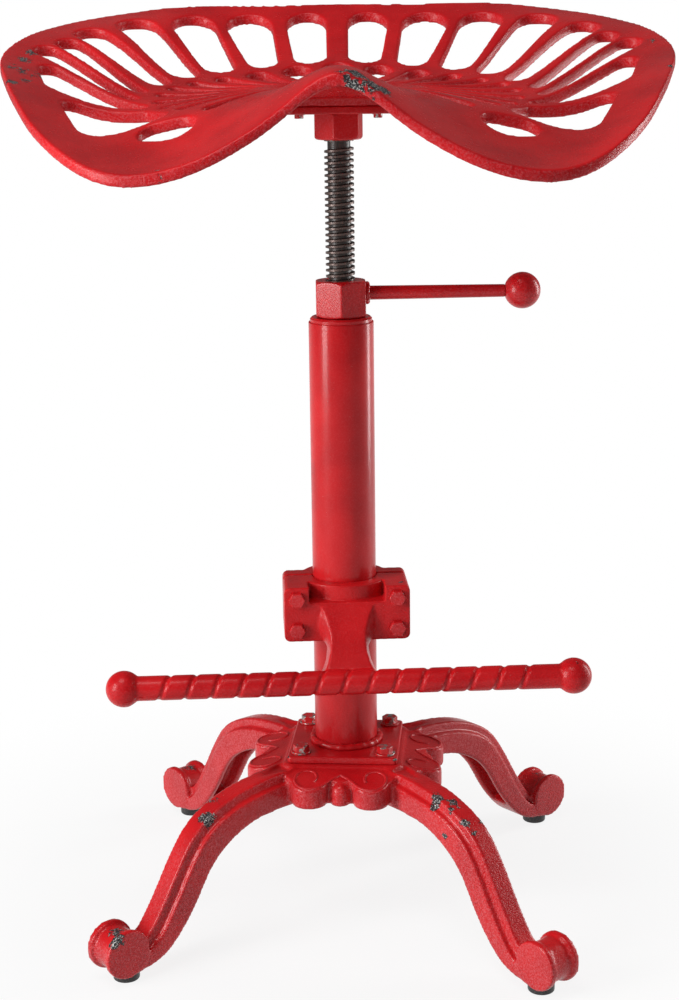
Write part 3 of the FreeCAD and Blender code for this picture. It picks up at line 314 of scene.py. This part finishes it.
# Floor glides: black plastic discs pressed up under the scrolls, each held by one
# countersunk steel screw from below.
def rounded(corners, radii, steps=5):
    """A profile's points with each corner turned into a small arc."""
    points = []
    count = len(corners)
    for index, (corner, radius) in enumerate(zip(corners, radii)):
        here = Vector(corner)
        before = Vector(corners[index - 1]) - here
        after = Vector(corners[(index + 1) % count]) - here
        if radius == 0:
            points.append(here)
            continue
        angle = before.angle(after)
        back = min(radius / math.tan(angle / 2), before.length * 0.45, after.length * 0.45)
        first = here + before.normalized() * back
        last = here + after.normalized() * back
        for step in range(steps + 1):
            share = step / steps
            points.append(first.lerp(here, share).lerp(here.lerp(last, share), share))
    return points


def turned(name, corners, radii, segments=72, middles=((0.0, 0.0),)):
    """A piece turned on a lathe from a closed profile of radius and height, at each middle."""
    profile = rounded(corners, radii)
    verts, faces = [], []
    for x, y in middles:
        start = len(verts)
        count = len(profile)
        for segment in range(segments):
            turn = 2 * math.pi * segment / segments
            for point in profile:
                verts.append((x + point.x * math.cos(turn), y + point.x * math.sin(turn), point.y))
        for segment in range(segments):
            ahead = (segment + 1) % segments
            for index in range(count):
                after = (index + 1) % count
                faces.append((start + segment * count + index, start + ahead * count + index,
                              start + ahead * count + after, start + segment * count + after))
    mesh = bpy.data.meshes.new(name)
    mesh.from_pydata(verts, [], faces)
    shell = bmesh.new()
    shell.from_mesh(mesh)
    bmesh.ops.remove_doubles(shell, verts=shell.verts, dist=1e-7)
    bmesh.ops.recalc_face_normals(shell, faces=shell.faces)
    shell.to_mesh(mesh)
    shell.free()
    mesh.polygons.foreach_set("use_smooth", [True] * len(mesh.polygons))
    return add_piece(name, mesh)


def black_plastic(name):
    """Moulded black plastic, scuffed grey by the floor."""
    finish, surface, place = new_finish(name)
    scuff = (place.noise(500, 4, 0.7) + place.noise(60, 2) * 0.4).between(0.72, 0.9)
    height = place.noise(1800, 2) * 0.00004 + place.noise(200, 2) * 0.00012
    relief = height.node("ShaderNodeBump", None,
                         {"Strength": 1.0, "Distance": 1.0, "Height": height})
    feed(surface, Base_Color=scuff.shade((0.012, 0.012, 0.013, 1), (0.075, 0.070, 0.066, 1)),
         Roughness=0.42 + scuff * 0.3, Normal=relief)
    return finish


low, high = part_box("foot_glides")
GLIDE_RADIUS = 0.009
SCREW_HOLE = 0.0028
SINK_RADIUS = 0.0049
SINK_DEPTH = 0.0032
glide_spots = [(x, y) for x in (low[0] + GLIDE_RADIUS, high[0] - GLIDE_RADIUS)
               for y in (low[1] + GLIDE_RADIUS, high[1] - GLIDE_RADIUS)]
glides = turned(
    "floor_glides",
    [(SINK_RADIUS, 0.0), (GLIDE_RADIUS, 0.0), (GLIDE_RADIUS, high[2]), (SCREW_HOLE, high[2]),
     (SCREW_HOLE, SINK_DEPTH), (SINK_RADIUS, SINK_DEPTH)],
    [0.0004, 0.0013, 0.0003, 0.0, 0.0, 0.0], segments=48, middles=glide_spots)
dress(glides, black_plastic("black_glide_plastic"), "stand", "black_plastic", "foot_glides")


def bright_steel(name, dull, dirt, paint=0.0):
    """Steel hardware, with dirt in its corners and what is left of red overspray."""
    finish, surface, place = new_finish(name)
    bend = place.node("ShaderNodeNewGeometry", out="Pointiness")
    scratch = place.noise(1200, 3, 0.6)
    stain = (place.noise(260, 4, 0.65) + (1 - bend) * 0.5 - 0.25).between(0.45, 0.68)
    metal = scratch.between(0.3, 0.7).shade((0.30, 0.285, 0.27, 1), (0.58, 0.56, 0.54, 1))
    metal = (stain * dirt).shade(metal, (0.035, 0.026, 0.022, 1))
    red = (place.noise(210, 3, 0.6) - bend.between(0.50, 0.62) * 0.4 + paint).between(0.55, 0.60)
    metal = red.shade(metal, RED)
    height = scratch * 0.00003 + place.noise(300, 2) * 0.0001
    relief = height.node("ShaderNodeBump", None,
                         {"Strength": 1.0, "Distance": 1.0, "Height": height})
    feed(surface, Base_Color=metal, Metallic=(1 - red) * (1 - stain * 0.6),
         Roughness=dull + stain * 0.25 + scratch * 0.12, Normal=relief)
    return finish


def refinish(node, finish):
    """A new finish for a solid that is shown as it is."""
    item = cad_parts[node]
    if not item.material_slots:
        item.data.materials.append(finish)
    for spot in item.material_slots:
        spot.material = finish


plain_steel = bright_steel("steel_hidden_hardware", dull=0.36, dirt=0.6)
refinish("glide_screws", plain_steel)


# Flange: a square steel plate on the hub, drawn down by four flanged screws whose
# painted heads a spanner has worn bare, with washers and nuts under the hub.
PLATE_CHIPS = ((0.0385, -0.0385, 0.1210, 0.003, 0.8), (-0.0385, -0.0380, 0.1210, 0.003, 0.7))
plate_paint = red_paint("red_flange_paint", PLATE_CHIPS, grain=0.00010, waves=0.00035, roughness=0.30,
                        painted_sheen=0.5)
plate = moulded("flange_plate", "steel_flange_plate", grid=0.0006, passes=4)
dress(plate, plate_paint, "stand", "red_steel", "flange_plate")

worn_heads = bright_steel("worn_screw_heads", dull=0.34, dirt=1.0, paint=0.15)
flange_screws = moulded("flange_screws", "flanged_screws", grid=0.00032, passes=3)
dress(flange_screws, worn_heads, "stand", "bare_steel", "flange_screws")
refinish("flange_washers", plain_steel)
refinish("flange_nuts", plain_steel)


# Post: a steel tube welded to the plate by a bead of overlapping lumps, and painted,
# with a threaded steel bush pressed into its top, which the paint covers too.
TUBE_CHIPS = ((-0.0205, -0.0090, 0.4330, 0.003, 0.8), (0.0120, -0.0190, 0.4340, 0.003, 0.7))
tube_paint = red_paint("red_tube_paint", TUBE_CHIPS, grain=0.00005, waves=0.00045, roughness=0.30, painted_sheen=0.2)
low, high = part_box("post_tube")
TUBE_RADIUS = 0.0225
TUBE_BORE = 0.0195
TUBE_FOOT = low[2]
TUBE_TOP = high[2]
tube = turned(
    "post_tube_painted",
    [(TUBE_RADIUS, TUBE_FOOT), (TUBE_RADIUS, TUBE_TOP), (TUBE_BORE, TUBE_TOP), (TUBE_BORE, TUBE_FOOT)],
    [0.0003, 0.0008, 0.0004, 0.0003], segments=160)
dress(tube, tube_paint, "stand", "red_steel", "post_tube")


def weld_bead(name, radius, leg, lumps, uneven):
    """A fillet weld round the Z axis at height 0: a ring of overlapping lumps."""
    around, section = lumps * 10, 12
    verts, faces = [], []
    for step in range(around):
        turn = 2 * math.pi * step / around
        beat = math.sin(turn * lumps / 2) ** 2
        sway = math.sin(turn * 5 + 1.3) + 0.6 * math.sin(turn * 11 + 0.4)
        full = leg * (0.92 + 0.08 * beat + uneven * sway)
        for index in range(section):
            share = index / (section - 1)
            bulge = 1 + 0.28 * math.sin(math.pi * share)
            out = math.cos(share * math.pi / 2) * full * bulge
            up = math.sin(share * math.pi / 2) * full * bulge
            verts.append(((radius + out) * math.cos(turn), (radius + out) * math.sin(turn), up))
    for step in range(around):
        ahead = (step + 1) % around
        for index in range(section - 1):
            faces.append((step * section + index, ahead * section + index,
                          ahead * section + index + 1, step * section + index + 1))
        faces.append((step * section + section - 1, ahead * section + section - 1,
                      ahead * section, step * section))
    mesh = bpy.data.meshes.new(name)
    mesh.from_pydata(verts, [], faces)
    shell = bmesh.new()
    shell.from_mesh(mesh)
    bmesh.ops.recalc_face_normals(shell, faces=shell.faces)
    shell.to_mesh(mesh)
    shell.free()
    mesh.polygons.foreach_set("use_smooth", [True] * len(mesh.polygons))
    return add_piece(name, mesh)


foot_weld = weld_bead("post_foot_weld", TUBE_RADIUS, leg=0.0036, lumps=21, uneven=0.045)
foot_weld.data.transform(Matrix.Translation((0, 0, TUBE_FOOT)))
dress(foot_weld, tube_paint, "stand", "red_steel", "post_weld")

BUSH_CHIPS = ((0, -0.012, 0.4350, 0.004, 0.7),)
bush_paint = red_paint("red_bush_paint", BUSH_CHIPS, grain=0.00004, waves=0.0001, roughness=0.30, painted_sheen=0.3)
refinish("threaded_bush", bush_paint)


# Lifting screw: an oiled steel rod with a coarse trapezoidal thread. Old oil and dirt
# have turned it black-brown, and only the crests show some metal.
def oily_thread(name):
    """Dark oil and dirt on steel, rubbed thinner on the crests of the thread."""
    finish, surface, place = new_finish(name)
    apart = place.node("ShaderNodeSeparateXYZ", None, {0: place}, out="X")
    across = place.node("ShaderNodeSeparateXYZ", None, {0: place}, out="Y")
    radius = (apart * apart + across * across) ** 0.5
    crest = radius.between(0.0091, 0.0100)
    soot = place.noise(260, 4, 0.65)
    rub = (place.noise(700, 3, 0.6) + crest * 0.22).between(0.56, 0.72) * crest
    dark = soot.between(0.3, 0.7).shade((0.008, 0.005, 0.004, 1), (0.040, 0.022, 0.016, 1))
    shine = rub.shade(dark, (0.11, 0.075, 0.065, 1))
    height = place.noise(900, 3, 0.6) * 0.00012 + soot * 0.0001
    relief = height.node("ShaderNodeBump", None,
                         {"Strength": 1.0, "Distance": 1.0, "Height": height})
    feed(surface, Base_Color=shine, Metallic=0.12 + rub * 0.5,
         Roughness=0.34 + soot * 0.22 - rub * 0.06, Normal=relief)
    surface.inputs["Coat Weight"].default_value = 0.12
    surface.inputs["Coat Roughness"].default_value = 0.2
    return finish


refinish("screw_rod", oily_thread("oily_screw_thread"))


# Guide: a pale nylon disc on the screw's foot, held by a washer and a screw. It
# centres the screw in the tube and is hidden inside it.
def greasy_nylon(name):
    """Pale nylon with patches of brown grease."""
    finish, surface, place = new_finish(name)
    grease = (place.noise(180, 4, 0.6) + place.noise(40, 2) * 0.3).between(0.6, 0.85)
    height = place.noise(900, 2) * 0.00005
    relief = height.node("ShaderNodeBump", None,
                         {"Strength": 1.0, "Distance": 1.0, "Height": height})
    feed(surface, Base_Color=grease.shade((0.62, 0.59, 0.50, 1), (0.16, 0.12, 0.08, 1)),
         Roughness=0.45 - grease * 0.15, Normal=relief)
    surface.inputs["Subsurface Weight"].default_value = 0.1
    return finish


refinish("rod_guide", greasy_nylon("greasy_guide_nylon"))
refinish("guide_washer", plain_steel)
refinish("guide_screw", plain_steel)


# Lock nut and lever: a tall painted hexagon that runs on the screw and is tightened
# down on the bush by a tapered bar, welded to one flat, with a ball knob at its end.
LOCK_CHIPS = ((0.1120, 0.0130, 0.4590, 0.003, 0.7), (-0.0120, -0.0150, 0.4560, 0.003, 0.8),
              (0.0080, -0.0180, 0.4325, 0.003, 0.8))
lock_paint = red_paint("red_lock_paint", LOCK_CHIPS, grain=0.00012, waves=0.0004, roughness=0.30, painted_sheen=0.6)
lock_nut = moulded("lock_nut", "lock_nut_painted", grid=0.0005, passes=4)
dress(lock_nut, lock_paint, "lock", "red_steel", "lock_nut")
lever = moulded("lock_lever", "lever_bar", grid=0.0005, passes=3)
dress(lever, lock_paint, "lock", "red_steel", "lock_lever")
knob = moulded("lever_knob", "lever_ball_knob", grid=0.0005, passes=3)
dress(knob, lock_paint, "lock", "red_steel", "lever_knob")

LEVER_TURN = math.radians(6.5)
LEVER_HEIGHT = 0.4461
LEVER_ROOT_RADIUS = 0.0049
NUT_FLAT = 0.017
lever_weld = weld_bead("lever_root_weld", LEVER_ROOT_RADIUS, leg=0.0028, lumps=9, uneven=0.05)
lever_weld.data.transform(
    Matrix.Translation((0, 0, LEVER_HEIGHT)) @ Matrix.Rotation(LEVER_TURN, 4, "Z")
    @ Matrix.Translation((NUT_FLAT, 0, 0)) @ Matrix.Rotation(math.pi / 2, 4, "Y"))
dress(lever_weld, lock_paint, "lock", "red_steel", "lever_weld")


# Footrest: the clamp's front half, a waisted arm and a round bar with a twisted
# groove and ball ends, all one iron casting with soft blends and raised borders.
REST_CHIPS = ((-0.1600, -0.0850, 0.1950, 0.005, 0.8), (0.1640, -0.0420, 0.1950, 0.004, 0.8),
              (0.0420, -0.0210, 0.2455, 0.004, 0.8), (-0.0440, -0.0300, 0.2455, 0.003, 0.7))
rest_paint = red_paint("red_cast_footrest", REST_CHIPS, grain=0.00018, waves=0.0006, roughness=0.31,
                       painted_sheen=0.25, lacquer=0.15)
footrest = moulded("footrest_casting", "cast_footrest", grid=0.0008, passes=5)
dress(footrest, rest_paint, "footrest", "red_casting", "footrest_casting")
clamp_back = moulded("clamp_back_half", "cast_clamp_back", grid=0.0009, passes=5)
dress(clamp_back, rest_paint, "footrest", "red_casting", "clamp_back_half")


# Clamp bolts: four hexagon bolts through both halves, painted with the rest and worn
# to steel at their corners, with washers and nuts behind.
BOLT_CHIPS = ((0.0360, -0.0400, 0.2400, 0.003, 0.8), (-0.0340, -0.0400, 0.2130, 0.003, 0.8))
bolt_paint = red_paint("red_bolt_paint", BOLT_CHIPS, grain=0.00008, waves=0.0002, roughness=0.30, painted_sheen=0.8)
clamp_bolts = moulded("clamp_bolts", "clamp_hex_bolts", grid=0.00032, passes=3)
dress(clamp_bolts, bolt_paint, "footrest", "red_steel", "clamp_bolts")
refinish("clamp_washers", plain_steel)
refinish("clamp_nuts", plain_steel)


# Seat mounting: a hexagon welded on the screw and a square plate under the seat,
# both painted, with four pan-head screws let into the seat's dish.
MOUNT_CHIPS = ((0.0120, -0.0130, 0.5660, 0.004, 0.8),)
mount_paint = red_paint("red_mount_paint", MOUNT_CHIPS, grain=0.00010, waves=0.0003, roughness=0.30,
                        painted_sheen=0.5)
seat_nut = moulded("seat_nut", "seat_hexagon", grid=0.0005, passes=4)
dress(seat_nut, mount_paint, "seat", "red_steel", "seat_nut")
mount_plate = moulded("seat_mount_plate", "seat_plate", grid=0.0006, passes=4)
dress(mount_plate, mount_paint, "seat", "red_steel", "seat_mount_plate")
seat_screws = moulded("seat_screws", "seat_pan_screws", grid=0.00035, passes=3)
dress(seat_screws, worn_heads, "seat", "bare_steel", "seat_screws")
refinish("seat_washers", plain_steel)


# Seat pan: a dished iron casting pierced by two rings of slots, with a raised pommel
# in front. Its paint is glossy on the rim, sandy in the slots with a painted pink sheen on their walls, and
# chipped in places.
SEAT_CHIPS = (
    (0.0172, -0.1471, 0.5935, 0.008, 0.8), (0.0232, -0.1399, 0.5956, 0.013, 1.0),
    (0.0207, -0.1469, 0.5889, 0.010, 1.0), (0.0322, -0.1413, 0.5898, 0.016, 0.95),
    (0.0385, -0.1382, 0.5861, 0.012, 1.0), (0.0150, -0.1430, 0.5950, 0.010, 0.7),
    (0.0290, -0.1450, 0.5910, 0.012, 0.7), (-0.2071, -0.0568, 0.5913, 0.008, 1.0),
    (-0.2025, -0.0407, 0.5922, 0.009, 0.9), (-0.1980, -0.0171, 0.5948, 0.014, 0.75),
    (-0.2141, 0.0058, 0.6044, 0.014, 0.70), (-0.2105, -0.0209, 0.5982, 0.034, 0.55),
    (-0.2112, 0.0262, 0.6094, 0.022, 0.58), (0.2198, -0.0077, 0.5963, 0.006, 1.0),
    (0.2140, 0.0653, 0.6119, 0.020, 0.45), (-0.0900, -0.1660, 0.5400, 0.010, 0.5),
)
seat_paint = red_paint("red_cast_seat", SEAT_CHIPS, grain=0.00022, waves=0.0009, roughness=0.22, lacquer=0.10)
seat = moulded("seat_pan", "cast_seat", grid=0.0011, passes=12)
dress(seat, seat_paint, "seat", "red_casting", "seat_pan")


# Studio: a pale floor that fades into a white ground, soft lamps at front left, behind
# on the right and above, and the camera where the photograph was taken from.
def pale_floor(name):
    """A matt pale floor that takes the stool's shadow and turns white further out."""
    finish, surface, place = new_finish(name)
    output = finish.node_tree.nodes["Material Output"]
    away = place.node("ShaderNodeVectorMath", {"operation": "LENGTH"}, {0: place}, out="Value")
    seen = place.node("ShaderNodeLightPath", out="Is Camera Ray")
    glossy = place.node("ShaderNodeLightPath", out="Is Glossy Ray")
    glow = place.node("ShaderNodeEmission", None, {"Color": (1, 1, 1, 1), "Strength": 1.0})
    fade = (0.84 + away.between(0.10, 0.50) * 0.16) * seen.larger(glossy)
    surface.inputs["Base Color"].default_value = (0.72, 0.72, 0.72, 1)
    surface.inputs["Roughness"].default_value = 0.7
    both = place.node("ShaderNodeMixShader", None,
                      {0: fade, 1: Wire(surface.outputs["BSDF"]), 2: glow})
    finish.node_tree.links.new(both.socket, output.inputs["Surface"])
    return finish


FLOOR_REACH = 4.0
mesh = bpy.data.meshes.new("studio_floor")
mesh.from_pydata(
    [(-FLOOR_REACH, -FLOOR_REACH, 0), (FLOOR_REACH, -FLOOR_REACH, 0),
     (FLOOR_REACH, FLOOR_REACH, 0), (-FLOOR_REACH, FLOOR_REACH, 0)], [], [(0, 1, 2, 3)])
mesh.materials.append(pale_floor("pale_floor"))
floor = add_piece("studio_floor", mesh)

world = bpy.data.worlds.new("studio_white")
bpy.context.scene.world = world
world.use_nodes = True
sky = world.node_tree.nodes["Background"]
sight = Wire(world.node_tree.nodes.new("ShaderNodeLightPath").outputs["Is Camera Ray"])
mirror = sight.node("ShaderNodeLightPath", out="Is Glossy Ray")
SKY_FILL = 0.13
SKY_GLOSS = 0.03
strength = SKY_FILL + (1 - SKY_FILL) * sight + SKY_GLOSS * mirror
world.node_tree.links.new(strength.socket, sky.inputs["Strength"])
sky.inputs["Color"].default_value = (1, 1, 1, 1)


def soft_lamp(name, place, aim, width, height, power):
    """A large square lamp at a place, turned to shine at a point."""
    lamp = bpy.data.lights.new(name, "AREA")
    lamp.shape = "RECTANGLE"
    lamp.size, lamp.size_y, lamp.energy = width, height, power
    item = bpy.data.objects.new(name, lamp)
    item.matrix_world = Matrix.Translation(place) @ (
        Vector(aim) - Vector(place)).to_track_quat("-Z", "Y").to_matrix().to_4x4()
    bpy.context.scene.collection.objects.link(item)


soft_lamp("lamp_left", place=(-1.6, -1.1, 0.8), aim=(0, 0, 0.35), width=0.7, height=1.3, power=40)
soft_lamp("lamp_right", place=(1.5, 0.7, 0.6), aim=(0, 0, 0.35), width=0.4, height=1.3, power=22)
soft_lamp("lamp_above", place=(-0.4, -0.7, 2.0), aim=(0, 0, 0.3), width=0.9, height=0.8, power=15)

CAMERA_PLACE = (0.1081, -1.2821, 0.6194)
CAMERA_HEADING = math.radians(4.94)
CAMERA_TILT = math.radians(76.05)
CAMERA_ROLL = math.radians(-0.76)
camera = bpy.data.cameras.new("photo_camera")
camera.lens = 67.67
camera.sensor_width = 36.0
eye = bpy.data.objects.new("photo_camera", camera)
eye.matrix_world = (
    Matrix.Translation(CAMERA_PLACE) @ Matrix.Rotation(CAMERA_HEADING, 4, "Z")
    @ Matrix.Rotation(CAMERA_TILT, 4, "X") @ Matrix.Rotation(CAMERA_ROLL, 4, "Z"))
bpy.context.scene.collection.objects.link(eye)
bpy.context.scene.camera = eye
bpy.context.scene.view_settings.view_transform = "Standard"
